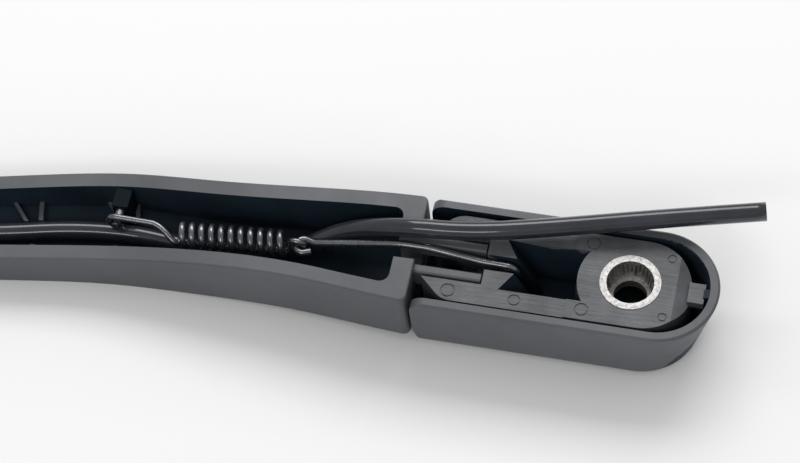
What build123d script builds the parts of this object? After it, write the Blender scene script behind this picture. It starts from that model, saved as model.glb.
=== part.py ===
from build123d import *
import math
import os

# Wiper arm lying on its outer face, glass side up. Millimetres.
# The origin is the centre of the spindle bush's mouth, +X runs away from the blade, +Z points to the glass.

# Head cover
head_depth = 21.5
bush_recess = 0.5
cover_half_width = 15.8
cover_wall = 2.4
cover_floor = 2.0
cover_draft = 2.0
cover_edge_radius = 3.5
cover_corner_radius = 4.0
cover_rim_chamfer = 0.6
cover_end_x = 22.4
cover_nose_slope = 5.0
cover_nose_slope_inside = 4.6
rim_z = bush_recess
rest_z = rim_z - head_depth

# Spindle bush
bush_radius = 7.7
bush_length = 10.0
bore_mouth_radius = 6.0
bore_mouth_land = 1.5
bore_radius = 4.3
bore_land = 3.0
bore_neck_radius = 5.3
nut_recess_radius = 10.5

# Head frame
frame_side_gap = 1.0
frame_half_width = cover_half_width - cover_wall - frame_side_gap
frame_top = -0.6
frame_bottom = rest_z + cover_floor + 2.0
frame_end_x = 15.5
frame_tip_x = -46.0
frame_tip_radius = 6.0
rail_tip_reach = 6.3
rail_inner = 6.6
platform_step = 0.4
platform_start_x = -15.0
platform_end_x = 11.5
end_slope_drop = 1.8
block_start_x = -36.8
block_end_x = -29.2
block_skew = 3.2
block_lean = 0.4
link_slot_half = 2.2
pocket_half_width = 7.3
boss_top_radius = 13.2
boss_foot_radius = 15.2
tab_half_width = 2.8
tab_start_x = 14.6
tab_reach = 3.2
tab_thickness = 2.4
mark_depth = 0.25
mark_line = 0.35
mark_inset = 2.8
small_mark_inset = 4.0
mark_places = [(-44.8, -1, 1.9), (-27.8, -1, 1.6), (-10.8, -1, 1.8), (-10.8, 1, 1.8)]
small_mark_places = [(9.3, -1, 1.2), (9.3, 1, 1.2)]

# Hinge between the head and the arm
hinge_x = -39.0
hinge_z = rest_z + 8.7
hinge_pin_radius = 2.2
running_gap = 0.05
seat_gap = 0.02
knuckle_radius = 5.0
knuckle_relief = 0.4
tongue_inner = 3.0
tongue_thickness = 2.6
tongue_top = -1.2
tongue_stop_gap = 0.5
neck_depth = 5.9
neck_radius = 3.0
tongue_edge_radius = 0.7
arm_end_x = -54.5
end_gap = 0.9
arm_end_step = 0.2

# Arm, as stations along X: centre line and half width in plan, outer face and rim heights above the table
arm_plan = [
    (arm_end_x, 0.15, cover_half_width - arm_end_step),
    (-70.0, 0.75, 14.7),
    (-84.0, 1.2, 13.6),
    (-111.0, 1.4, 12.8),
    (-136.0, 1.35, 13.35),
    (-162.0, -2.15, 13.05),
    (-220.0, -12.0, 11.2),
    (-290.0, -24.0, 8.2),
]
arm_side = [
    (arm_end_x, 4.0, 21.8),
    (-84.0, 2.2, 20.1),
    (-111.0, 0.7, 17.1),
    (-136.0, 0.0, 13.1),
    (-162.0, 0.0, 11.6),
    (-220.0, 0.0, 10.2),
    (-290.0, 0.0, 8.6),
]
arm_wall = 4.2
arm_floor = 2.0
arm_rim_radius = 0.5
arm_corner_radius = 1.8
end_wall = 5.5
cavity_corner_radius = 2.5
cavity_tip_x = -262.0
link_slot_floor = 11.5
hose_groove_low = 2.4
hose_groove_high = 8.2
hose_groove_floor = 19.8
tip_corner_radius = 4.0

# Blade end of the arm
blade_bore_x = -281.0
blade_bore_radius = 2.0
blade_bore_height = 5.2
fork_slot_width = 6.4
fork_width = 10.8
fork_start_x = -273.0

# Ribs on the arm's floor
rib_thickness = 1.2
rib_height = 2.2
rib_hose_gap = 1.3

# Tension spring and its pull link, both on the line from the anchor pin to the link pin
anchor_x = -136.2
anchor_height = 10.45
anchor_pin_radius = 1.3
anchor_seat = 2.8
anchor_reach = -0.4
anchor_lug_half = 2.1
anchor_lug_start = 4.6
link_pin_x = -32.0
link_pin_height = 15.5
link_pin_radius = 1.8
hook_y = 1.2
spring_wire = 1.7
spring_radius = 2.75
spring_turns = 11
coil_start = (-118.5, -1.0, -8.5)
coil_end = (-89.9, 0.6, -7.8)
link_wire = 1.9
link_y = 0.6
link_eye_x = -87.0
link_eye_z = -7.7
link_eye_half_width = 2.0
wire_gap = 0.15

# Washer hose
hose_diameter = 4.9
nozzle_length = 7.5
nozzle_width = 5.6
nozzle_height = 6.6
nozzle_gap = 0.05

anchor_z = rest_z + anchor_height
link_pin_z = rest_z + link_pin_height
cover_bow_radius = hinge_x - arm_end_x - end_gap
cover_start_x = hinge_x - cover_bow_radius
tongue_outer = tongue_inner + tongue_thickness


def box_between(low, high):
    """A box given by two opposite corners."""
    size = [b - a for a, b in zip(low, high)]
    return Pos(*low) * Box(*size, align=(Align.MIN, Align.MIN, Align.MIN))


def cross_pin(x, z, radius, y_low, y_high):
    """A round bar along Y."""
    return Pos(x, y_low, z) * Rot(-90, 0, 0) * Cylinder(radius, y_high - y_low, align=(Align.CENTER, Align.CENTER, Align.MIN))


def side_prism(points, y_low, y_high):
    """A straight-sided outline given as X and Z, thick along Y."""
    outline = Polyline(*[(x, y_low, z) for x, z in points], close=True)
    return extrude(make_face(outline), amount=y_high - y_low, dir=(0, 1, 0))


def plan_prism(points, z_low, z_high):
    """A straight-sided outline given as X and Y, thick along Z."""
    outline = Polyline(*[(x, y, z_low) for x, y in points], close=True)
    return extrude(make_face(outline), amount=z_high - z_low, dir=(0, 0, 1))


def at_station(table, x, column):
    """Height, centre or width at x, between the two nearest stations."""
    for near, far in zip(table, table[1:]):
        if near[0] >= x >= far[0]:
            share = (near[0] - x) / (near[0] - far[0])
            return near[column] + share * (far[column] - near[column])
    return table[0][column] if x > table[0][0] else table[-1][column]


def round_ended(half_width, end_x, z):
    """Plan outline of the head: straight sides from beyond the hinge end to a half-round end."""
    centre_x = end_x - half_width
    back_x = arm_end_x - half_width
    side = Line((back_x, -half_width, z), (centre_x, -half_width, z))
    nose = ThreePointArc((centre_x, -half_width, z), (end_x, 0, z), (centre_x, half_width, z))
    return make_face([side, nose, Line((centre_x, half_width, z), (back_x, half_width, z)), Line((back_x, half_width, z), (back_x, -half_width, z))])


def leaning_block(half_width, end_x, depth, nose_slope, chamfer_size=0):
    """Round-ended block below the rim, with drafted sides and a nose that leans in towards the table."""
    low_half = half_width - depth * math.tan(math.radians(cover_draft))
    outlines = [round_ended(half_width, end_x, rim_z - chamfer_size), round_ended(low_half, end_x - nose_slope, rim_z - depth)]
    if chamfer_size:
        outlines.insert(0, round_ended(half_width - chamfer_size, end_x - chamfer_size, rim_z))
    return loft(outlines, ruled=True)


def head_cover():
    """Moulded shell that hides the head: open towards the glass and towards the arm."""
    outer = leaning_block(cover_half_width, cover_end_x, head_depth, cover_nose_slope, cover_rim_chamfer)
    outer = fillet(outer.faces().sort_by(Axis.Z)[0].edges(), cover_edge_radius)
    hollow_depth = head_depth - cover_floor
    inner_half = cover_half_width - cover_wall
    hollow = leaning_block(inner_half, cover_end_x - cover_wall, hollow_depth, cover_nose_slope_inside)
    hollow = fillet(hollow.faces().sort_by(Axis.Z)[0].edges(), 1.5)
    hollow += box_between((arm_end_x - cover_half_width - 9, -inner_half, rim_z - 0.1), (arm_end_x, inner_half, rim_z + 1))
    shell = outer - hollow
    reach = 2 * cover_half_width
    keep = box_between((hinge_x, -reach, rest_z - 1), (cover_end_x + 1, reach, rim_z + 1))
    bow = cross_pin(hinge_x, hinge_z, cover_bow_radius, -reach, reach)
    keep += bow & box_between((cover_start_x - 1, -reach, rest_z - 1), (hinge_x, reach, hinge_z))
    corner = side_prism(
        [(cover_start_x, hinge_z), (hinge_x, hinge_z), (hinge_x, rim_z + 1), (cover_start_x, rim_z + 1)], -reach, reach
    )
    corner -= box_between((cover_start_x - 1, -reach, rim_z), (hinge_x + 1, reach, rim_z + 2))
    round_edge = corner.edges().filter_by(Axis.Y).group_by(Axis.Z)[-1].sort_by(Axis.X)[0]
    keep += fillet(round_edge, cover_corner_radius)
    shell = shell & keep
    rib_half_gap = 8.4
    for side in (-1, 1):
        y_low, y_high = sorted((side * rib_half_gap, side * (rib_half_gap + 1.2)))
        shell += box_between((-30, y_low, rest_z + cover_floor - 0.5), (6, y_high, frame_bottom))
    nib_x = cover_end_x - cover_wall
    nib_top = frame_top - 0.1
    shell += side_prism([(nib_x + 0.6, nib_top + 1.0), (nib_x - 1.6, nib_top + 0.3), (nib_x - 1.6, nib_top), (nib_x + 0.6, nib_top)], -1.2, 1.2)
    return shell


def head_frame():
    """Moulded frame inside the cover: two rails for the hinge, the stop blocks and the boss around the bush."""
    arc_centre = frame_end_x - frame_half_width
    low = frame_bottom
    tip = frame_tip_x - rail_tip_reach
    edges = [
        Line((tip, -rail_inner, low), (frame_tip_x, -frame_half_width, low)),
        Line((frame_tip_x, -frame_half_width, low), (arc_centre, -frame_half_width, low)),
        ThreePointArc((arc_centre, -frame_half_width, low), (frame_end_x, 0, low), (arc_centre, frame_half_width, low)),
        Line((arc_centre, frame_half_width, low), (frame_tip_x, frame_half_width, low)),
        Line((frame_tip_x, frame_half_width, low), (tip, rail_inner, low)),
        Line((tip, rail_inner, low), (tip, -rail_inner, low)),
    ]
    frame = extrude(make_face(edges), amount=frame_top - frame_bottom, dir=(0, 0, 1))
    shoulders = [edge for edge in frame.edges().filter_by(Axis.Z) if abs(edge.center().X - frame_tip_x) < 0.1]
    frame = fillet(shoulders, frame_tip_radius)
    platform = frame & box_between((platform_start_x, -20, frame_top - 1), (20, 20, frame_top))
    frame += Pos(0, 0, platform_step) * platform
    below, above = frame_bottom - 1, frame_top + 2
    frame -= box_between((tip - 1, -rail_inner, below), (block_start_x, rail_inner, above))
    frame -= box_between((block_start_x - 1, -link_slot_half, below), (block_end_x + 9, link_slot_half, above))
    pocket_ends = []
    for level in (below, above):
        lean = block_lean * (frame_top - level)
        outline = [
            (block_end_x + lean, -link_slot_half),
            (block_end_x + lean - block_skew, -pocket_half_width),
            (-8, -pocket_half_width),
            (-8, pocket_half_width),
            (block_end_x + lean - block_skew, pocket_half_width),
            (block_end_x + lean, link_slot_half),
        ]
        pocket_ends.append(make_face(Polyline(*[(x, y, level) for x, y in outline], close=True)))
    pocket = loft(pocket_ends, ruled=True)
    boss = Pos(0, 0, frame_bottom - 2) * Cone(
        boss_foot_radius, boss_top_radius, frame_top + 4 - frame_bottom, align=(Align.CENTER, Align.CENTER, Align.MIN)
    )
    frame -= pocket - boss
    frame -= cross_pin(hinge_x, hinge_z, knuckle_radius + knuckle_relief, -rail_inner, rail_inner)
    for side in (-1, 1):
        y_low, y_high = sorted((side * (tongue_outer + 0.2), side * (rail_inner + 0.5)))
        frame += cross_pin(hinge_x, hinge_z, knuckle_radius - 0.6, y_low, y_high)
    frame -= side_prism(
        [(platform_end_x, above), (platform_end_x, frame_top + platform_step), (frame_end_x + 1, frame_top - end_slope_drop), (frame_end_x + 1, above)],
        -20,
        20,
    )
    tab_z = frame_top - 0.1 - tab_thickness
    frame += box_between((tab_start_x, -tab_half_width, tab_z), (frame_end_x + tab_reach, tab_half_width, tab_z + tab_thickness))
    frame -= Pos(0, 0, below) * Cylinder(nut_recess_radius, -bush_length - below, align=(Align.CENTER, Align.CENTER, Align.MIN))
    frame -= Cylinder(bush_radius + seat_gap, 4 * bush_length)
    reach = frame_half_width + 1
    frame -= cross_pin(hinge_x, hinge_z, hinge_pin_radius + seat_gap, -reach, reach)
    frame -= cross_pin(link_pin_x, link_pin_z, link_pin_radius + seat_gap, -reach, reach)
    for x, side, radius in mark_places + small_mark_places:
        y = side * (frame_half_width - (small_mark_inset if x > 0 else mark_inset))
        level = frame_top + (platform_step if x > platform_start_x else 0)
        ring = Cylinder(radius, 2, align=(Align.CENTER, Align.CENTER, Align.MIN))
        ring -= Cylinder(radius - mark_line, 2, align=(Align.CENTER, Align.CENTER, Align.MIN))
        frame -= Pos(x, y, level - mark_depth) * ring
    return frame


def spindle_bush():
    """Steel insert: a plain mouth, a taper, and a narrower hole for the threaded end."""
    taper_depth = bush_length - bore_land
    section = Polyline(
        (bore_radius, 0, -bush_length),
        (bush_radius, 0, -bush_length),
        (bush_radius, 0, 0),
        (bore_mouth_radius, 0, 0),
        (bore_mouth_radius, 0, -bore_mouth_land),
        (bore_neck_radius, 0, -taper_depth),
        (bore_radius, 0, -taper_depth),
        close=True,
    )
    return revolve(make_face(section), Axis.Z)


def edge_points(side, inset, stations):
    """One edge of the arm in plan, moved inwards by inset."""
    return [(x, centre + side * (half - inset), 0) for x, centre, half in stations]


def arm_outline(stations, inset):
    """Plan face between the near and the far edge over these stations."""
    near = edge_points(-1, inset, stations)
    far = edge_points(1, inset, stations)
    return make_face([Spline(*near), Line(near[-1], far[-1]), Spline(*far[::-1]), Line(far[0], near[0])])


def trimmed(table, x_start, x_stop):
    """The stations between two places, with a station worked out at each of them."""
    inside = [row for row in table if x_stop < row[0] < x_start]
    ends = [tuple([x] + [at_station(table, x, k) for k in (1, 2)]) for x in (x_start, x_stop)]
    return [ends[0]] + inside + [ends[1]]


def side_profile(lift, rim_lift):
    """Side face between the outer face, moved up by lift, and the rim, moved up by rim_lift."""
    flat_from = [outer for x, outer, rim in arm_side].index(0.0)
    low = [(x, 0, rest_z + outer + lift) for x, outer, rim in arm_side]
    high = [(x, 0, rest_z + rim + rim_lift) for x, outer, rim in arm_side]
    bow = Spline(*low[: flat_from + 1], tangents=[(-1, 0, -0.05), (-1, 0, 0)])
    return make_face([bow, Line(low[flat_from], low[-1]), Line(low[-1], high[-1]), Spline(*high[::-1]), Line(high[0], low[0])])


def arm_body():
    """Channel of the arm, closed at both ends."""
    plan = Pos(0, 0, rest_z - 5) * arm_outline(arm_plan, 0)
    block = extrude(plan, amount=40, dir=(0, 0, 1))
    block = block & extrude(side_profile(0, 0), amount=50, both=True, dir=(0, 1, 0))
    tip_edges = block.edges().filter_by(Axis.Z).group_by(Axis.X)[0]
    block = fillet(tip_edges, tip_corner_radius)
    end_edges = block.edges().filter_by(Axis.Z).group_by(Axis.X)[-1]
    block = fillet(end_edges, arm_corner_radius)
    rim = block.faces().sort_by(Axis.Z)[-1]
    block = fillet(rim.edges(), arm_rim_radius)
    cavity_plan = trimmed(arm_plan, arm_end_x - end_wall, cavity_tip_x)
    cavity = extrude(Pos(0, 0, rest_z - 5) * arm_outline(cavity_plan, arm_wall), amount=40, dir=(0, 0, 1))
    cavity = fillet(cavity.edges().filter_by(Axis.Z), cavity_corner_radius)
    cavity = cavity & extrude(side_profile(arm_floor, 9), amount=50, both=True, dir=(0, 1, 0))
    return block - cavity


def tongue(side):
    """Hinge lever on one side of the pull link: a neck high above the outer skin, then a drop to the knuckle."""
    y_low, y_high = sorted((side * tongue_inner, side * tongue_outer))
    stop_x = block_start_x - tongue_stop_gap
    web_x = hinge_x - knuckle_radius
    neck_low = tongue_top - neck_depth
    plate = side_prism(
        [
            (arm_end_x - end_wall / 2, neck_low),
            (web_x, neck_low),
            (web_x, hinge_z),
            (hinge_x + knuckle_radius * 0.2, hinge_z),
            (stop_x, neck_low),
            (stop_x, tongue_top),
            (arm_end_x - end_wall / 2, tongue_top),
        ],
        y_low,
        y_high,
    )
    inner_corner = plate.edges().filter_by(Axis.Y).sort_by_distance((web_x, y_low, neck_low))[0]
    plate = fillet(inner_corner, neck_radius)
    top_edges = plate.faces().sort_by(Axis.Z)[-1].edges().filter_by(Axis.X)
    plate = fillet(top_edges, tongue_edge_radius)
    return plate + cross_pin(hinge_x, hinge_z, knuckle_radius, y_low, y_high)


def hose_y(x):
    """Y of the hose's route at x."""
    route = hose_route()
    for near, far in zip(route, route[1:]):
        if near[0] <= x <= far[0]:
            return near[1] + (x - near[0]) / (far[0] - near[0]) * (far[1] - near[1])
    return route[0][1]


def floor_ribs():
    """Pairs of ribs each side of the hose, one slanting and one square to the arm."""
    ribs = []
    for bay_x in (-132, -158, -196, -234):
        centre = at_station(arm_plan, bay_x, 1)
        inner = at_station(arm_plan, bay_x, 2) - arm_wall
        start = hose_diameter / 2 + rib_hose_gap
        for side in (-1, 1):
            for shift, slant in ((-1.5, 1.5), (-7.9, 6.8)):
                root_x, free_x = bay_x + shift - slant / 2, bay_x + shift + slant / 2
                ribs.append([(root_x, centre + side * (inner + 1), side), (free_x, hose_y(free_x) + side * start, side)])
    shapes = []
    for (x0, y0, side), (x1, y1, _) in ribs:
        half = rib_thickness / 2
        low = rest_z + at_station(arm_side, x0, 1) + arm_floor / 2
        shapes.append(plan_prism([(x0 - half, y0), (x0 + half, y0), (x1 + half, y1), (x1 - half, y1)], low, low + arm_floor / 2 + rib_height))
    return shapes


def anchor_span():
    """Lowest and highest Y of the anchor pin, which is pressed through a lug into the far wall only."""
    centre = at_station(arm_plan, anchor_x, 1)
    inner = at_station(arm_plan, anchor_x, 2) - arm_wall
    return anchor_reach, centre + inner + anchor_seat


def arm():
    """One moulding: channel, end wall, two hinge tongues, ribs and the forked tip."""
    body = arm_body()
    for side in (-1, 1):
        body += tongue(side)
    body -= box_between(
        (arm_end_x - end_wall - 4, -tongue_inner, rest_z + link_slot_floor), (arm_end_x + 1, tongue_inner, rim_z + 5)
    )
    body -= box_between(
        (arm_end_x - end_wall - 4, hose_groove_low, rest_z + hose_groove_floor), (arm_end_x + 1, hose_groove_high, rim_z + 5)
    )
    for shape in floor_ribs():
        body += shape
    y_low, y_high = anchor_span()
    lug = anchor_lug_half
    body += box_between((anchor_x - lug, anchor_lug_start, rest_z + arm_floor / 2), (anchor_x + lug, y_high - 1, anchor_z + lug))
    body -= cross_pin(anchor_x, anchor_z, anchor_pin_radius + seat_gap, y_low, y_high)
    body -= cross_pin(hinge_x, hinge_z, hinge_pin_radius + running_gap, -frame_half_width, frame_half_width)
    tip_y = at_station(arm_plan, blade_bore_x, 1)
    tip_x = arm_plan[-1][0] - 5
    half_slot, half_fork = fork_slot_width / 2, fork_width / 2
    for low_y, high_y in ((-30, -half_fork), (-half_slot, half_slot), (half_fork, 30)):
        body -= box_between((tip_x, tip_y + low_y, rest_z - 5), (fork_start_x, tip_y + high_y, rest_z + 20))
    body -= cross_pin(blade_bore_x, rest_z + blade_bore_height, blade_bore_radius, tip_y - 12, tip_y + 12)
    return body


def wire_along(path, diameter):
    """Round wire along a path."""
    start = Plane(origin=path @ 0, z_dir=path % 0)
    return sweep(start * Circle(diameter / 2), path=path)


def tension_spring():
    """Open coil with a long hook for the anchor pin and a short hook for the link's eye."""
    hook = anchor_pin_radius + spring_wire / 2 + wire_gap
    start, end = Vector(*coil_start), Vector(*coil_end)
    along = end - start
    coil_plane = Plane(origin=start, x_dir=Vector(0, 0, -1).cross(along).cross(along) * -1, z_dir=along)
    helix = coil_plane.location * Helix(along.length / spring_turns, along.length, spring_radius)
    first, last = helix @ 0, helix @ 1
    top, bottom = anchor_z + hook, anchor_z - hook
    straight_end = (anchor_x + 9.5, hook_y - 0.2, top)
    small = link_wire / 2 + spring_wire / 2 + 0.1
    over = (link_eye_x, link_y, link_eye_z + small)
    path = [
        Line((anchor_x + 1.4, hook_y, bottom), (anchor_x, hook_y, bottom)),
        ThreePointArc((anchor_x, hook_y, bottom), (anchor_x - hook, hook_y, anchor_z), (anchor_x, hook_y, top)),
        Line((anchor_x, hook_y, top), straight_end),
        Spline(straight_end, first, tangents=[(1, 0, 0), helix % 0]),
        helix,
        Spline(last, over, tangents=[helix % 1, (1, 0, 0)]),
        ThreePointArc(over, (link_eye_x + small, link_y, link_eye_z), (link_eye_x, link_y, link_eye_z - small)),
    ]
    return wire_along(Wire(path), spring_wire)


def pull_link():
    """Bent wire that hooks on the spring, bows over the hinge pin and turns round the link pin."""
    turn = link_pin_radius + link_wire / 2 + wire_gap * 2
    near, far = link_y - link_eye_half_width, link_y + link_eye_half_width
    points_and_radii = [
        ((link_eye_x + 4.0, near + 0.7, link_eye_z), None),
        ((link_eye_x + 2.1, near, link_eye_z), 1.5),
        ((link_eye_x, near, link_eye_z), 1.7),
        ((link_eye_x, far, link_eye_z), 1.7),
        ((link_eye_x + 2.1, far, link_eye_z), 1.5),
        ((link_eye_x + 4.7, 1.7, link_eye_z + 0.5), 5.0),
        ((-60.0, 1.8, -1.2), 25.0),
        ((-52.0, 1.6, -0.7), 12.0),
        ((hinge_x + 1.0, link_y + 0.2, -2.3), 20.0),
        ((link_pin_x + turn, link_y, link_pin_z + turn), turn - 0.05),
        ((link_pin_x + turn, link_y, link_pin_z - turn), turn - 0.05),
        ((link_pin_x - 0.8, link_y, link_pin_z - turn), None),
    ]
    points = [point for point, radius in points_and_radii]
    radii = [radius for point, radius in points_and_radii if radius]
    return wire_along(FilletPolyline(*points, radius=radii), link_wire)


def hose_route():
    """Points of the hose's route, from the nozzle along the channel, under the spring and out over the head."""
    low = rest_z + hose_diameter / 2
    return [
        (-250.0, -17.6, low + 2.4),
        (-222.0, -13.0, low + 2.5),
        (-192.0, -8.6, low + 2.4),
        (-168.0, -4.4, low + 2.4),
        (-149.0, 0.1, low + 2.2),
        (-132.0, 1.5, low + 2.2),
        (-117.0, -0.3, low + 2.7),
        (-101.0, -0.4, low + 3.6),
        (-87.5, 2.8, low + 4.7),
        (-76.0, 6.3, low + 12.4),
        (-60.0, 5.0, low + 20.9),
        (-42.0, 5.7, low + 21.7),
        (-21.0, 10.3, low + 22.2),
        (4.0, 16.6, low + 23.0),
        (30.6, 22.2, low + 24.7),
    ]


def turn_radii(points):
    """An arc for each corner, as large as its two runs allow."""
    radii = []
    for before, here, after in zip(points, points[1:], points[2:]):
        into, out = Vector(*here) - Vector(*before), Vector(*after) - Vector(*here)
        half_turn = math.radians(into.get_angle(out)) / 2
        radii.append(0.45 * min(into.length, out.length) / math.tan(half_turn))
    return radii


def washer_hose():
    """Rubber hose on straight runs joined by tangent arcs."""
    points = hose_route()
    radii = turn_radii(points)
    path = FilletPolyline(*points, radius=radii)
    hose = wire_along(path, hose_diameter)
    section = math.pi * hose_diameter**2 / 4
    print("hose radii", [round(r) for r in radii], "length", round(path.length, 1))
    print("hose volume over section times length", round(hose.volume / (section * path.length), 4))
    return hose


def jet_nozzle():
    """Plug glued in the channel's blade end, which the hose butts against."""
    start = Vector(*hose_route()[0])
    heading = math.degrees(math.atan2(start.Y - hose_route()[1][1], start.X - hose_route()[1][0]))
    low = rest_z + arm_floor + seat_gap
    block = Pos(nozzle_gap, 0, 0) * Box(nozzle_length, nozzle_width, nozzle_height, align=(Align.MIN, Align.CENTER, Align.MIN))
    block = fillet(block.edges().filter_by(Axis.X).group_by(Axis.Z)[-1], 1.5)
    return Pos(start.X, start.Y, low) * Rot(0, 0, heading) * block


def build():
    os.makedirs("parts", exist_ok=True)
    y_low, y_high = anchor_span()
    pin_half = frame_half_width - 0.2
    nodes = {
        "head_cover": head_cover(),
        "head_frame": head_frame(),
        "spindle_bush": spindle_bush(),
        "hinge_pin": cross_pin(hinge_x, hinge_z, hinge_pin_radius, -pin_half, pin_half),
        "link_pin": cross_pin(link_pin_x, link_pin_z, link_pin_radius, -pin_half, pin_half),
        "arm": arm(),
        "anchor_pin": cross_pin(anchor_x, anchor_z, anchor_pin_radius, y_low, y_high),
        "tension_spring": tension_spring(),
        "pull_link": pull_link(),
        "washer_hose": washer_hose(),
        "jet_nozzle": jet_nozzle(),
    }
    for name, shape in nodes.items():
        print(name, "solids", len(shape.solids()), "volume", round(shape.volume, 2), "valid", shape.is_valid)
        export_step(shape, f"parts/{name}.step")


build()
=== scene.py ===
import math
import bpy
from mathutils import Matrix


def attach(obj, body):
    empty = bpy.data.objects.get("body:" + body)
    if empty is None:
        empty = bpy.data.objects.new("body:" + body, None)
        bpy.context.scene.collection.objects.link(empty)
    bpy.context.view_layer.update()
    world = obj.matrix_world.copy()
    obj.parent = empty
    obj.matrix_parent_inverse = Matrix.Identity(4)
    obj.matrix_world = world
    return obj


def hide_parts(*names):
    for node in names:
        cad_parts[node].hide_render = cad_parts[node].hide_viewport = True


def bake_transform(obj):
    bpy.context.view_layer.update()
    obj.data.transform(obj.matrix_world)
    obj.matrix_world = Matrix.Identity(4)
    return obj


bl_info = {
    "name": "Wiper Arm",
    "version": (1, 0, 0),
    "blender": (4, 5, 0),
    "location": "View3D > Sidebar > Wiper Arm",
    "description": "Finishes a wiper arm's solids and sets up a pale studio around it",
    "category": "Object",
}

import bmesh
import bpy
from bpy.props import FloatProperty, FloatVectorProperty, IntProperty, PointerProperty
from bpy.types import Operator, Panel, PropertyGroup
from mathutils import Matrix, Vector

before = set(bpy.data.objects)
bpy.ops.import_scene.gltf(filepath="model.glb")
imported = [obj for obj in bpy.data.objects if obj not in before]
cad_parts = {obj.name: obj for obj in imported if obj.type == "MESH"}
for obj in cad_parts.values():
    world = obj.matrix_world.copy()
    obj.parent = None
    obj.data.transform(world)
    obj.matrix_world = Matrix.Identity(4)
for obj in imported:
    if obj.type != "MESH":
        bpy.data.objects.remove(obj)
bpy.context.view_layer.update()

MM = 0.001
REST_Z = -21.0 * MM

# Hinge's X and Z, and a dark sheet of painted shade curved round it at the arm's end, in millimetres and
# degrees below level
HINGE = (-39.0, -12.3)
GAP_SHADE_SHEET = {"inner": 15.1, "outer": 15.9, "top": 8.0, "bottom": 31.5, "half_width": 12.6, "steps": 10}

# The arm's channel, whose floor and walls get painted shade, in millimetres: X, the middle's Y, half the
# width between the walls, the floor's Z
CHANNEL = [
    (-60.0, 0.3, 11.1, -15.3),
    (-84.0, 1.2, 9.4, -16.8),
    (-111.0, 1.4, 8.6, -18.3),
    (-136.0, 1.35, 9.15, -19.0),
    (-162.0, -2.15, 8.85, -19.0),
    (-220.0, -12.0, 7.0, -19.0),
    (-264.0, -19.6, 5.0, -19.0),
]

# Places in millimetres whose faces get painted shade: the anchor pin's lug from corner to
# corner, the inside of the cover round the spindle, and the pocket between the head frame's rails
LUG = ((-138.5, 4.5, -18.9), (-133.9, 10.2, -8.3))
COVER_INSIDE = {"round_end": 6.6, "half_width": 13.6, "floor": -19.2, "rim": 0.1}
POCKET = {"far": -34.0, "near": -8.0, "half_width": 7.7, "top": -1.5}

# The serrations in the bush's bore, which tapers from its mouth to its neck, in millimetres. The
# smallest and largest are a torn ridge's share of a whole one, out from the axis, across and down.
SERRATIONS = {
    "mouth_radius": 5.99,
    "mouth_depth": 1.6,
    "neck_radius": 5.34,
    "depth": 6.7,
    "smallest": (0.985, 0.6, 0.35),
    "largest": (1.0, 2.4, 1.0),
    "seed": 7,
}

# The photograph's size and the camera's focal length, scale and view of the bush's mouth in its
# pixels, and the camera's angles in degrees
PHOTO_SIZE = (800, 463)
FOCAL_PIXELS = 2500.0
PIXELS_PER_MM = 4.004
BUSH_PIXEL = (630.38, 282.12)
AZIMUTH, ELEVATION, ROLL = 19.28, 59.47, -8.39
SENSOR_MM = 36.0

# The stage in metres: the table's half side, its gap under the part, how far the shadow close round
# the part reaches, and where the lamps aim
TABLE_HALF_SIDE = 6.0
TABLE_GAP = 0.0002
CONTACT_SHADOW_REACH = 0.04
LIGHT_AIM = (-0.07, 0, -0.01)

# The hose's route from the nozzle to its cut end, in metres
HOSE_ROUTE = [
    (-0.2500, -0.0176, -0.01615),
    (-0.2220, -0.0130, -0.01605),
    (-0.1920, -0.0086, -0.01615),
    (-0.1680, -0.0044, -0.01615),
    (-0.1490, 0.0001, -0.01635),
    (-0.1320, 0.0015, -0.01635),
    (-0.1170, -0.0003, -0.01585),
    (-0.1010, -0.0004, -0.01495),
    (-0.0875, 0.0028, -0.01385),
    (-0.0760, 0.0063, -0.00615),
    (-0.0600, 0.0050, 0.00235),
    (-0.0420, 0.0057, 0.00315),
    (-0.0210, 0.0103, 0.00365),
    (0.0040, 0.0166, 0.00445),
    (0.0306, 0.0222, 0.00615),
]


# Settings


def colour_setting(name, description, default):
    return FloatVectorProperty(
        name=name, description=description, subtype="COLOR", size=3, min=0, max=1, default=default
    )


def share_setting(name, description, default):
    return FloatProperty(
        name=name, description=description, subtype="FACTOR", min=0, max=1, default=default
    )


def length_setting(name, description, least, most, default):
    return FloatProperty(
        name=name,
        description=description,
        subtype="DISTANCE",
        min=least,
        max=most,
        default=default,
        precision=5,
    )


def power_setting(name, description, default):
    return FloatProperty(
        name=name, description=description, subtype="POWER", min=0, max=50, default=default
    )


class WiperPlasticSettings(PropertyGroup):
    arm_colour: colour_setting(
        "Arm colour", "Colour of the grained arm and head cover", (0.092, 0.096, 0.106)
    )
    frame_colour: colour_setting(
        "Frame colour", "Colour of the smoother frame inside the head", (0.086, 0.089, 0.097)
    )
    # Painted shade: this darker colour stands for the shade inside the channel and the head
    hollow_shade_colour: colour_setting(
        "Hollow colour",
        "Colour of the unworn plastic inside the channel and the head",
        (0.010, 0.020, 0.031),
    )
    arm_roughness: share_setting("Arm roughness", "How matte the arm and cover are", 0.46)
    frame_roughness: share_setting("Frame roughness", "How matte the frame is", 0.42)
    grain_size: length_setting("Grain size", "Size of the spark-eroded grain", 0.0001, 0.01, 0.0005)


class WiperBushSettings(PropertyGroup):
    colour: colour_setting("Steel colour", "Colour of the turned steel", (0.56, 0.548, 0.535))
    serrations: IntProperty(
        name="Serrations",
        description="Grooves that the spindle has pressed into the bore",
        min=8,
        max=90,
        default=34,
    )
    serration_height: length_setting(
        "Serration height", "How far a ridge stands out of the bore's wall", 0.00005, 0.001, 0.00016
    )


class WiperWireSettings(PropertyGroup):
    colour: colour_setting("Wire colour", "Colour of the coated spring, link and pins", (0.15, 0.155, 0.17))
    roughness: share_setting("Wire roughness", "How matte the coating is", 0.27)


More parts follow.
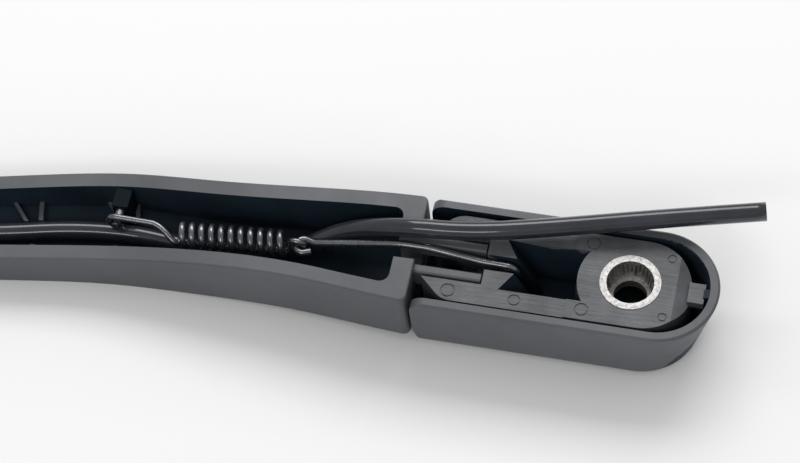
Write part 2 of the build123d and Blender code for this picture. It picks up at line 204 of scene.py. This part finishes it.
class WiperHoseSettings(PropertyGroup):
    colour: colour_setting("Hose colour", "Colour of the rubber", (0.02, 0.0225, 0.03))
    diameter: length_setting("Hose diameter", "Outside diameter of the hose", 0.002, 0.01, 0.0049)
    wall: length_setting("Hose wall", "Thickness of the rubber", 0.0004, 0.002, 0.0012)
    roughness: share_setting("Hose roughness", "How matte the rubber is", 0.32)


class WiperStageSettings(PropertyGroup):
    floor_colour: colour_setting("Floor colour", "Colour of the table", (0.83, 0.83, 0.835))
    backdrop_white: share_setting(
        "Backdrop white", "Paleness that the camera and mirrors see on the table", 0.17
    )
    sky: FloatProperty(
        name="Sky strength", description="Even light from all around", min=0, max=3, default=0.45
    )
    key_power: power_setting("Key power", "Power of the softbox behind the arm", 7.6)
    fill_power: power_setting("Fill power", "Power of the softbox at the camera's side", 1.3)


# Materials


def new_material(name):
    material = bpy.data.materials.new(name)
    material.use_nodes = True
    shader = material.node_tree.nodes["Principled BSDF"]
    return material, material.node_tree, shader


def object_point(tree):
    return tree.nodes.new("ShaderNodeTexCoord").outputs["Object"]


def noise(tree, point, scale, detail, roughness, stretch=None):
    if stretch is not None:
        mapping = tree.nodes.new("ShaderNodeMapping")
        mapping.inputs["Scale"].default_value = stretch
        tree.links.new(point, mapping.inputs["Vector"])
        point = mapping.outputs["Vector"]
    texture = tree.nodes.new("ShaderNodeTexNoise")
    texture.inputs["Scale"].default_value = scale
    texture.inputs["Detail"].default_value = detail
    texture.inputs["Roughness"].default_value = roughness
    tree.links.new(point, texture.inputs["Vector"])
    return texture.outputs["Fac"]


def spread(tree, value, low, high, from_low=0.3, from_high=0.7):
    node = tree.nodes.new("ShaderNodeMapRange")
    node.inputs["From Min"].default_value = from_low
    node.inputs["From Max"].default_value = from_high
    node.inputs["To Min"].default_value = low
    node.inputs["To Max"].default_value = high
    tree.links.new(value, node.inputs["Value"])
    return node.outputs["Result"]


def tint(tree, value, dark, light):
    node = tree.nodes.new("ShaderNodeMix")
    node.data_type = "RGBA"
    node.inputs["A"].default_value = (*dark, 1)
    node.inputs["B"].default_value = (*light, 1)
    tree.links.new(value, node.inputs["Factor"])
    return node.outputs["Result"]


def bump(tree, height, distance, strength, below=None):
    node = tree.nodes.new("ShaderNodeBump")
    node.inputs["Distance"].default_value = distance
    node.inputs["Strength"].default_value = strength
    tree.links.new(height, node.inputs["Height"])
    if below is not None:
        tree.links.new(below, node.inputs["Normal"])
    return node.outputs["Normal"]


def maths(tree, operation, first, second, clamp=False):
    """Joins two values, each a socket or a number, by one operation."""
    node = tree.nodes.new("ShaderNodeMath")
    node.operation = operation
    node.use_clamp = clamp
    for socket, value in zip(node.inputs, (first, second)):
        if isinstance(value, (int, float)):
            socket.default_value = value
        else:
            tree.links.new(value, socket)
    return node.outputs["Value"]


def brighter(colour, by):
    return tuple(min(1.0, c * by) for c in colour)


def mottle(tree, shader, pattern, dark, light):
    """Lets the colour wander from dark to light with the pattern."""
    tree.links.new(tint(tree, pattern, dark, light), shader.inputs["Base Color"])


def vary_roughness(tree, shader, pattern, low, high):
    """Lets the roughness wander from low to high with the pattern."""
    tree.links.new(spread(tree, pattern, low, high), shader.inputs["Roughness"])


def relief(tree, shader, pattern, distance, strength, below=None):
    """Raises the pattern as fine relief, on top of a coarser one where it is given."""
    tree.links.new(bump(tree, pattern, distance, strength, below), shader.inputs["Normal"])


def grained_plastic(settings):
    material, tree, shader = new_material("grained_black_plastic")
    point = object_point(tree)
    grain = noise(tree, point, scale=1.0 / settings.grain_size, detail=2.0, roughness=0.6)
    flow = noise(tree, point, scale=26.0, detail=3.0, roughness=0.5)
    rubbed = noise(tree, point, scale=140.0, detail=4.0, roughness=0.65)
    dark, light = brighter(settings.arm_colour, 0.85), brighter(settings.arm_colour, 1.2)
    mottle(tree, shader, spread(tree, flow, 0, 1), dark, light)
    vary_roughness(tree, shader, rubbed, settings.arm_roughness - 0.05, settings.arm_roughness + 0.06)
    low = bump(tree, rubbed, distance=0.00003, strength=0.25)
    relief(tree, shader, grain, distance=0.00006, strength=0.42, below=low)
    return material


def smooth_plastic(settings):
    material, tree, shader = new_material("smooth_black_plastic")
    point = object_point(tree)
    cutter_lines = noise(tree, point, scale=110.0, detail=5.0, roughness=0.7, stretch=(1.0, 14.0, 14.0))
    flow = noise(tree, point, scale=60.0, detail=4.0, roughness=0.6)
    dark, light = brighter(settings.frame_colour, 0.6), brighter(settings.frame_colour, 1.5)
    mottle(tree, shader, spread(tree, flow, 0, 1), dark, light)
    matte = settings.frame_roughness
    vary_roughness(tree, shader, cutter_lines, matte - 0.12, matte + 0.14)
    low = bump(tree, flow, distance=0.00012, strength=0.4)
    relief(tree, shader, cutter_lines, distance=0.00014, strength=0.7, below=low)
    return material


def hollow_shade_plastic(settings, name="painted_shade_plastic", light_share=1.0):
    """Plastic with painted shade, darker where less light gets in, and darker still as light_share falls.
    """
    material, tree, shader = new_material(name)
    point = object_point(tree)
    flow = noise(tree, point, scale=45.0, detail=3.0, roughness=0.55)
    grain = noise(tree, point, scale=1600.0, detail=2.0, roughness=0.6)
    # Painted shade: the colour and the gloss drop with light_share where less light gets in
    dark = brighter(settings.hollow_shade_colour, 0.7 * light_share)
    light = brighter(settings.hollow_shade_colour, 1.5 * light_share)
    mottle(tree, shader, spread(tree, flow, 0, 1), dark, light)
    vary_roughness(tree, shader, flow, 0.5, 0.62)
    shader.inputs["Specular IOR Level"].default_value = 0.3 * light_share
    relief(tree, shader, grain, distance=0.00004, strength=0.25)
    return material


def turned_steel(settings):
    material, tree, shader = new_material("turned_steel")
    point = object_point(tree)
    flat = tree.nodes.new("ShaderNodeVectorMath")
    flat.operation = "MULTIPLY"
    flat.inputs[1].default_value = (1, 1, 0)
    tree.links.new(point, flat.inputs[0])
    radius = tree.nodes.new("ShaderNodeVectorMath")
    radius.operation = "LENGTH"
    tree.links.new(flat.outputs["Vector"], radius.inputs[0])
    rings = tree.nodes.new("ShaderNodeTexNoise")
    rings.noise_dimensions = "1D"
    rings.inputs["Scale"].default_value = 5200.0
    rings.inputs["Detail"].default_value = 3.0
    tree.links.new(radius.outputs["Value"], rings.inputs["W"])
    turned = rings.outputs["Fac"]
    dirt = noise(tree, point, scale=1100.0, detail=4.0, roughness=0.75)
    dark, light = brighter(settings.colour, 0.5), brighter(settings.colour, 1.15)
    mottle(tree, shader, spread(tree, dirt, 0, 1, 0.3, 0.6), dark, light)
    shader.inputs["Metallic"].default_value = 1.0
    vary_roughness(tree, shader, turned, 0.42, 0.64)
    low = bump(tree, dirt, distance=0.00016, strength=0.7)
    relief(tree, shader, turned, distance=0.00004, strength=0.6, below=low)
    return material


def worn_bore(settings):
    material, tree, shader = new_material("worn_bore_steel")
    point = object_point(tree)
    pits = noise(tree, point, scale=1500.0, detail=4.0, roughness=0.75)
    stain = noise(tree, point, scale=300.0, detail=3.0, roughness=0.6)
    grime = (0.1, 0.102, 0.11)
    mottle(tree, shader, spread(tree, stain, 0, 1), grime, brighter(settings.colour, 0.8))
    shader.inputs["Metallic"].default_value = 1.0
    vary_roughness(tree, shader, pits, 0.42, 0.72)
    relief(tree, shader, pits, distance=0.0003, strength=0.8)
    return material


def coated_wire(settings):
    material, tree, shader = new_material("coated_black_wire")
    point = object_point(tree)
    coat = noise(tree, point, scale=900.0, detail=2.0, roughness=0.5)
    scuff = noise(tree, point, scale=160.0, detail=4.0, roughness=0.7)
    scuffed = brighter(settings.colour, 1.6)
    mottle(tree, shader, spread(tree, scuff, 0, 1, 0.45, 0.85), settings.colour, scuffed)
    shader.inputs["Metallic"].default_value = 0.9
    vary_roughness(tree, shader, coat, settings.roughness - 0.06, settings.roughness + 0.12)
    shader.inputs["Coat Weight"].default_value = 0.8
    shader.inputs["Coat Roughness"].default_value = 0.12
    relief(tree, shader, coat, distance=0.00002, strength=0.08)
    return material


def hose_rubber(settings):
    material, tree, shader = new_material("extruded_hose_rubber")
    point = object_point(tree)
    draw_lines = noise(tree, point, scale=150.0, detail=3.0, roughness=0.6, stretch=(0.12, 6.0, 6.0))
    bloom = noise(tree, point, scale=75.0, detail=3.0, roughness=0.6)
    bloomed = brighter(settings.colour, 1.7)
    mottle(tree, shader, spread(tree, bloom, 0, 1, 0.4, 0.8), settings.colour, bloomed)
    vary_roughness(tree, shader, draw_lines, settings.roughness - 0.05, settings.roughness + 0.08)
    shader.inputs["Specular IOR Level"].default_value = 0.2
    shader.inputs["Coat Weight"].default_value = 0.9
    shader.inputs["Coat Roughness"].default_value = 0.07
    low = bump(tree, bloom, distance=0.0001, strength=0.15)
    relief(tree, shader, draw_lines, distance=0.00005, strength=0.3, below=low)
    return material


def pale_floor(settings):
    """A pale table that the camera and mirrors see paler still, apart from close under the part, where a
    painted shadow dims it.
    """
    material, tree, shader = new_material("pale_table")
    cloud = noise(tree, object_point(tree), scale=3.0, detail=2.0, roughness=0.5)
    dark, light = brighter(settings.floor_colour, 0.99), brighter(settings.floor_colour, 1.01)
    mottle(tree, shader, cloud, dark, light)
    shader.inputs["Roughness"].default_value = 0.75
    shader.inputs["Specular IOR Level"].default_value = 0.15
    ray = tree.nodes.new("ShaderNodeLightPath")
    seen = ray.outputs["Is Camera Ray"]
    for kind in ("Is Glossy Ray", "Is Transmission Ray"):
        seen = maths(tree, "ADD", seen, ray.outputs[kind], clamp=True)
    # Painted shadow: the paleness fades where the part closes in over the table
    open_air = tree.nodes.new("ShaderNodeAmbientOcclusion")
    open_air.samples = 8
    open_air.inputs["Distance"].default_value = CONTACT_SHADOW_REACH
    open_share = maths(tree, "POWER", open_air.outputs["AO"], 2.0)
    seen_in_the_open = maths(tree, "MULTIPLY", seen, open_share)
    glow = maths(tree, "MULTIPLY", seen_in_the_open, settings.backdrop_white)
    shader.inputs["Emission Color"].default_value = (0.98, 0.99, 1.0, 1)
    tree.links.new(glow, shader.inputs["Emission Strength"])
    return material


# Helpers


def wear(node, material):
    """Gives a CAD node one finish all over."""
    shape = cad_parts[node]
    if not shape.material_slots:
        shape.data.materials.append(material)
    for slot in shape.material_slots:
        slot.material = material
    return shape


def line_hollow(shape, material, inside):
    """Gives the faces that lie inside a hollow their own material, with painted shade."""
    shape.data.materials.append(material)
    place = len(shape.data.materials) - 1
    for face in shape.data.polygons:
        if inside(Vector(face.center) / MM, face.normal):
            face.material_index = place


def on_lug(point, normal):
    return all(low < place < high for low, place, high in zip(LUG[0], point, LUG[1]))


def in_channel(point, normal):
    floor_slack, wall_slack, foot_slack, flattest_wall = 0.7, 0.9, 0.3, 0.6
    for near, far in zip(CHANNEL, CHANNEL[1:]):
        if near[0] >= point.x >= far[0]:
            share = (near[0] - point.x) / (near[0] - far[0])
            middle, half, floor = (near[k] + share * (far[k] - near[k]) for k in (1, 2, 3))
            aside = abs(point.y - middle)
            on_floor = abs(point.z - floor) < floor_slack and aside < half
            upright = normal.z < flattest_wall
            on_wall = abs(aside - half) < wall_slack and upright and floor - foot_slack < point.z
            return on_floor or on_wall
    return False


def in_cover(point, normal):
    beyond = max(0.0, point.x - COVER_INSIDE["round_end"])
    inside = math.hypot(beyond, point.y) < COVER_INSIDE["half_width"]
    return inside and COVER_INSIDE["floor"] < point.z < COVER_INSIDE["rim"]


def in_pocket(point, normal):
    between = POCKET["far"] < point.x < POCKET["near"] and abs(point.y) < POCKET["half_width"]
    return between and point.z < POCKET["top"]


def link_mesh(name, mesh, material=None):
    piece = bpy.data.objects.new(name, mesh)
    bpy.context.scene.collection.objects.link(piece)
    if material is not None:
        mesh.materials.clear()
        mesh.materials.append(material)
    return piece


def set_input(modifier, tree, name, value):
    """Sets a Geometry Nodes input by its identifier."""
    for item in tree.interface.items_tree:
        if item.item_type == "SOCKET" and item.in_out == "INPUT" and item.name == name:
            modifier[item.identifier] = value
            return
    raise KeyError(name)


def baked(carrier, tree, values):
    """Runs a Geometry Nodes tree on the carrier and returns its result as a plain mesh."""
    modifier = carrier.modifiers.new(tree.name, "NODES")
    modifier.node_group = tree
    for name, value in values.items():
        set_input(modifier, tree, name, value)
    depsgraph = bpy.context.evaluated_depsgraph_get()
    depsgraph.update()
    mesh = bpy.data.meshes.new_from_object(carrier.evaluated_get(depsgraph))
    carrier.modifiers.remove(modifier)
    return mesh


def new_tree(name, inputs):
    tree = bpy.data.node_groups.new(name, "GeometryNodeTree")
    tree.interface.new_socket("Geometry", in_out="OUTPUT", socket_type="NodeSocketGeometry")
    tree.interface.new_socket("Geometry", in_out="INPUT", socket_type="NodeSocketGeometry")
    for label, kind, default in inputs:
        socket = tree.interface.new_socket(label, in_out="INPUT", socket_type=kind)
        socket.default_value = default
    return tree, tree.nodes.new("NodeGroupInput"), tree.nodes.new("NodeGroupOutput")


# Pieces


def gap_shade_sheet_mesh():
    """A dark curved sheet of painted shade round the hinge, which fills the gap between the arm's end and
    the head.
    """
    form = bmesh.new()
    rings = []
    for k in range(GAP_SHADE_SHEET["steps"] + 1):
        turn = math.radians(GAP_SHADE_SHEET["top"] + (GAP_SHADE_SHEET["bottom"] - GAP_SHADE_SHEET["top"]) * k / GAP_SHADE_SHEET["steps"])
        row = []
        for radius in (GAP_SHADE_SHEET["inner"], GAP_SHADE_SHEET["outer"]):
            x = HINGE[0] - radius * math.cos(turn)
            z = HINGE[1] - radius * math.sin(turn)
            for side in (-1, 1):
                row.append(form.verts.new((x * MM, side * GAP_SHADE_SHEET["half_width"] * MM, z * MM)))
        rings.append(row)
    for upper, lower in zip(rings, rings[1:]):
        for a, b in ((0, 1), (1, 3), (3, 2), (2, 0)):
            form.faces.new((upper[a], upper[b], lower[b], lower[a]))
    form.faces.new([rings[0][k] for k in (0, 2, 3, 1)])
    form.faces.new([rings[-1][k] for k in (0, 1, 3, 2)])
    bmesh.ops.recalc_face_normals(form, faces=form.faces)
    mesh = bpy.data.meshes.new("gap_shade_sheet")
    form.to_mesh(mesh)
    form.free()
    return mesh


class WIPER_OT_outer_mouldings(Operator):
    """Finish the arm and the head cover in grained black plastic"""

    bl_idname = "wiper.outer_mouldings"
    bl_label = "Arm and Cover"

    def execute(self, context):
        settings = context.scene.wiper_plastic
        plastic = grained_plastic(settings)
        hollow = hollow_shade_plastic(settings)
        arm = wear("arm", plastic)
        # The channel's floor and walls, the lug and the inside of the cover get painted shade
        line_hollow(arm, hollow, in_channel)
        line_hollow(arm, hollow_shade_plastic(settings, "shaded_black_plastic", light_share=0.3), on_lug)
        line_hollow(wear("head_cover", plastic), hollow, in_cover)
        # A dark sheet of painted shade fills the gap between the arm's end and the head
        shade_sheet = link_mesh("gap_shade_sheet", gap_shade_sheet_mesh(), hollow)
        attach(shade_sheet, "arm")
        return {"FINISHED"}


class WIPER_OT_inner_mouldings(Operator):
    """Finish the head frame and the jet nozzle in smoother black plastic"""

    bl_idname = "wiper.inner_mouldings"
    bl_label = "Frame and Nozzle"

    def execute(self, context):
        settings = context.scene.wiper_plastic
        plastic = smooth_plastic(settings)
        # The pocket between the rails gets painted shade
        line_hollow(wear("head_frame", plastic), hollow_shade_plastic(settings), in_pocket)
        wear("jet_nozzle", plastic)
        return {"FINISHED"}


def serration_tree(material):
    """A ring of short ridges down the wall of a tapering bore."""
    tree, given, made = new_tree(
        "bore_serrations",
        [
            ("Count", "NodeSocketInt", 40),
            ("Mouth radius", "NodeSocketFloat", 0.006),
            ("Mouth depth", "NodeSocketFloat", 0.0016),
            ("Neck radius", "NodeSocketFloat", 0.0053),
            ("Depth", "NodeSocketFloat", 0.007),
            ("Height", "NodeSocketFloat", 0.0002),
        ],
    )
    nodes, links = tree.nodes, tree.links
    ring = nodes.new("GeometryNodeMeshCircle")
    ring.inputs["Radius"].default_value = 1.0
    links.new(given.outputs["Count"], ring.inputs["Vertices"])
    ridge = nodes.new("GeometryNodeCurvePrimitiveLine")
    start = nodes.new("ShaderNodeCombineXYZ")
    end = nodes.new("ShaderNodeCombineXYZ")
    for point, radius, depth in ((start, "Mouth radius", "Mouth depth"), (end, "Neck radius", "Depth")):
        links.new(given.outputs[radius], point.inputs["X"])
        links.new(maths(tree, "MULTIPLY", given.outputs[depth], -1.0), point.inputs["Z"])
    links.new(start.outputs["Vector"], ridge.inputs["Start"])
    links.new(end.outputs["Vector"], ridge.inputs["End"])
    section = nodes.new("GeometryNodeCurvePrimitiveCircle")
    section.inputs["Resolution"].default_value = 4
    links.new(given.outputs["Height"], section.inputs["Radius"])
    bar = nodes.new("GeometryNodeCurveToMesh")
    bar.inputs["Fill Caps"].default_value = True
    links.new(ridge.outputs["Curve"], bar.inputs["Curve"])
    links.new(section.outputs["Curve"], bar.inputs["Profile Curve"])
    position = nodes.new("GeometryNodeInputPosition")
    split = nodes.new("ShaderNodeSeparateXYZ")
    turn = nodes.new("ShaderNodeCombineXYZ")
    links.new(position.outputs["Position"], split.inputs["Vector"])
    links.new(maths(tree, "ARCTAN2", split.outputs["Y"], split.outputs["X"]), turn.inputs["Z"])
    torn = nodes.new("FunctionNodeRandomValue")
    torn.data_type = "FLOAT_VECTOR"
    torn.inputs["Min"].default_value = SERRATIONS["smallest"]
    torn.inputs["Max"].default_value = SERRATIONS["largest"]
    torn.inputs["Seed"].default_value = SERRATIONS["seed"]
    place = nodes.new("GeometryNodeInstanceOnPoints")
    links.new(torn.outputs["Value"], place.inputs["Scale"])
    links.new(ring.outputs["Mesh"], place.inputs["Points"])
    links.new(bar.outputs["Mesh"], place.inputs["Instance"])
    links.new(turn.outputs["Vector"], place.inputs["Rotation"])
    centre = nodes.new("GeometryNodeTranslateInstances")
    back = nodes.new("ShaderNodeVectorMath")
    back.operation = "SCALE"
    back.inputs["Scale"].default_value = -1.0
    links.new(position.outputs["Position"], back.inputs[0])
    centre.inputs["Local Space"].default_value = False
    links.new(place.outputs["Instances"], centre.inputs["Instances"])
    links.new(back.outputs["Vector"], centre.inputs["Translation"])
    real = nodes.new("GeometryNodeRealizeInstances")
    paint = nodes.new("GeometryNodeSetMaterial")
    paint.inputs["Material"].default_value = material
    links.new(centre.outputs["Instances"], real.inputs["Geometry"])
    links.new(real.outputs["Geometry"], paint.inputs["Geometry"])
    links.new(paint.outputs["Geometry"], made.inputs["Geometry"])
    return tree


class WIPER_OT_spindle_bush(Operator):
    """Finish the steel bush and press serrations into its bore"""

    bl_idname = "wiper.spindle_bush"
    bl_label = "Spindle Bush"

    def execute(self, context):
        settings = context.scene.wiper_bush
        wear("spindle_bush", turned_steel(settings))
        tree = serration_tree(worn_bore(settings))
        carrier = link_mesh("serration_carrier", bpy.data.meshes.new("serration_carrier"))
        mesh = baked(
            carrier,
            tree,
            {
                "Count": settings.serrations,
                "Mouth radius": SERRATIONS["mouth_radius"] * MM,
                "Mouth depth": SERRATIONS["mouth_depth"] * MM,
                "Neck radius": SERRATIONS["neck_radius"] * MM,
                "Depth": SERRATIONS["depth"] * MM,
                "Height": settings.serration_height,
            },
        )
        bpy.data.objects.remove(carrier)
        piece = link_mesh("bore_serrations", mesh)
        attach(piece, "head")
        return {"FINISHED"}


class WIPER_OT_wire_parts(Operator):
    """Finish the spring, the pull link and the pins in coated black steel"""

    bl_idname = "wiper.wire_parts"
    bl_label = "Spring, Link and Pins"

    def execute(self, context):
        coating = coated_wire(context.scene.wiper_wire)
        for node in ("tension_spring", "pull_link", "hinge_pin", "link_pin", "anchor_pin"):
            wear(node, coating)
        return {"FINISHED"}


class WIPER_OT_washer_hose(Operator):
    """Lay the rubber washer hose along the arm and out over the head"""

    bl_idname = "wiper.washer_hose"
    bl_label = "Washer Hose"

    def execute(self, context):
        settings = context.scene.wiper_hose
        curve = bpy.data.curves.new("hose_route", "CURVE")
        curve.dimensions = "3D"
        spline = curve.splines.new("NURBS")
        spline.points.add(len(HOSE_ROUTE) - 1)
        for point, place in zip(spline.points, HOSE_ROUTE):
            point.co = (*place, 1.0)
        spline.order_u = 3
        spline.use_endpoint_u = True
        spline.resolution_u = 16
        route = bpy.data.objects.new("hose_route", curve)
        line = bpy.data.meshes.new_from_object(route)
        bpy.data.meshes.remove(line)
        curve.bevel_depth = settings.diameter / 2
        curve.bevel_resolution = 6
        curve.use_fill_caps = False
        tube = bpy.data.meshes.new_from_object(route)
        tube.materials.append(hose_rubber(settings))
        bpy.data.objects.remove(route)
        bpy.data.curves.remove(curve)
        hose = link_mesh("hose_run", tube)
        wall = hose.modifiers.new("wall", "SOLIDIFY")
        wall.thickness = settings.wall
        wall.offset = -1.0
        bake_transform(hose)
        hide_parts("washer_hose")
        return {"FINISHED"}


# Stage


def softbox(name, place, width, height, power):
    light = bpy.data.lights.new(name, "AREA")
    light.shape = "RECTANGLE"
    light.size = width
    light.size_y = height
    light.energy = power
    lamp = bpy.data.objects.new(name, light)
    bpy.context.scene.collection.objects.link(lamp)
    lamp.location = place
    lamp.rotation_euler = (Vector(LIGHT_AIM) - Vector(place)).to_track_quat("-Z", "Y").to_euler()


def photo_camera():
    """The photograph's camera, placed so that the bush's mouth falls on its pixel."""
    azimuth, elevation, roll = (math.radians(v) for v in (AZIMUTH, ELEVATION, ROLL))
    flat = math.cos(elevation)
    back = Vector((math.sin(azimuth) * flat, -math.cos(azimuth) * flat, math.sin(elevation)))
    level = Vector((math.cos(azimuth), math.sin(azimuth), 0))
    high = back.cross(level)
    right = level * math.cos(roll) + high * math.sin(roll)
    up = high * math.cos(roll) - level * math.sin(roll)
    aside = (BUSH_PIXEL[0] - PHOTO_SIZE[0] / 2) / PIXELS_PER_MM
    above = (PHOTO_SIZE[1] / 2 - BUSH_PIXEL[1]) / PIXELS_PER_MM
    place = (back * (FOCAL_PIXELS / PIXELS_PER_MM) - right * aside - up * above) * MM
    data = bpy.data.cameras.new("photo_camera")
    data.sensor_width = SENSOR_MM
    data.lens = SENSOR_MM * FOCAL_PIXELS / PHOTO_SIZE[0]
    data.clip_start = 0.01
    camera = bpy.data.objects.new("photo_camera", data)
    camera.matrix_world = Matrix.Translation(place) @ Matrix((right, up, back)).transposed().to_4x4()
    bpy.context.scene.collection.objects.link(camera)
    bpy.context.scene.camera = camera


class WIPER_OT_stage(Operator):
    """Add the pale table, the softboxes and the camera"""

    bl_idname = "wiper.stage"
    bl_label = "Studio"

    def execute(self, context):
        settings = context.scene.wiper_stage
        form = bmesh.new()
        bmesh.ops.create_grid(form, x_segments=1, y_segments=1, size=TABLE_HALF_SIDE)
        mesh = bpy.data.meshes.new("table")
        form.to_mesh(mesh)
        form.free()
        mesh.transform(Matrix.Translation((0, 0, REST_Z - TABLE_GAP)))
        link_mesh("table", mesh, pale_floor(settings))

        world = bpy.data.worlds.new("even_sky")
        world.use_nodes = True
        sky = world.node_tree.nodes["Background"]
        sky.inputs["Color"].default_value = (1.0, 1.0, 1.0, 1)
        sky.inputs["Strength"].default_value = settings.sky
        context.scene.world = world
        softbox("back_softbox", (-0.12, 0.75, 0.85), width=1.0, height=0.5, power=settings.key_power)
        softbox("side_softbox", (-0.2, -0.6, 0.62), width=0.45, height=0.16, power=settings.fill_power)
        photo_camera()
        context.scene.view_settings.view_transform = "Standard"
        return {"FINISHED"}


class WIPER_PT_panel(Panel):
    """Lists the wiper arm's settings and the steps that finish it"""

    bl_idname = "WIPER_PT_panel"
    bl_label = "Wiper Arm"
    bl_space_type = "VIEW_3D"
    bl_region_type = "UI"
    bl_category = "Wiper Arm"

    def draw(self, context):
        for name, steps in PANEL_ROWS:
            box = self.layout.box()
            settings = getattr(context.scene, name)
            for prop in settings.__annotations__:
                box.prop(settings, prop)
            for step in steps:
                box.operator(step.bl_idname)


PANEL_ROWS = (
    ("wiper_plastic", (WIPER_OT_outer_mouldings, WIPER_OT_inner_mouldings)),
    ("wiper_bush", (WIPER_OT_spindle_bush,)),
    ("wiper_wire", (WIPER_OT_wire_parts,)),
    ("wiper_hose", (WIPER_OT_washer_hose,)),
    ("wiper_stage", (WIPER_OT_stage,)),
)

SETTINGS = {
    "wiper_plastic": WiperPlasticSettings,
    "wiper_bush": WiperBushSettings,
    "wiper_wire": WiperWireSettings,
    "wiper_hose": WiperHoseSettings,
    "wiper_stage": WiperStageSettings,
}

CLASSES = (
    *SETTINGS.values(),
    WIPER_OT_outer_mouldings,
    WIPER_OT_inner_mouldings,
    WIPER_OT_spindle_bush,
    WIPER_OT_wire_parts,
    WIPER_OT_washer_hose,
    WIPER_OT_stage,
    WIPER_PT_panel,
)


def register():
    for cls in CLASSES:
        bpy.utils.register_class(cls)
    for name, group in SETTINGS.items():
        setattr(bpy.types.Scene, name, PointerProperty(type=group))


def unregister():
    for name in SETTINGS:
        delattr(bpy.types.Scene, name)
    for cls in reversed(CLASSES):
        bpy.utils.unregister_class(cls)


def main():
    register()
    bpy.ops.wiper.outer_mouldings()
    bpy.ops.wiper.inner_mouldings()
    bpy.ops.wiper.spindle_bush()
    bpy.ops.wiper.wire_parts()
    bpy.ops.wiper.washer_hose()
    bpy.ops.wiper.stage()


if __name__ == "__main__":
    main()
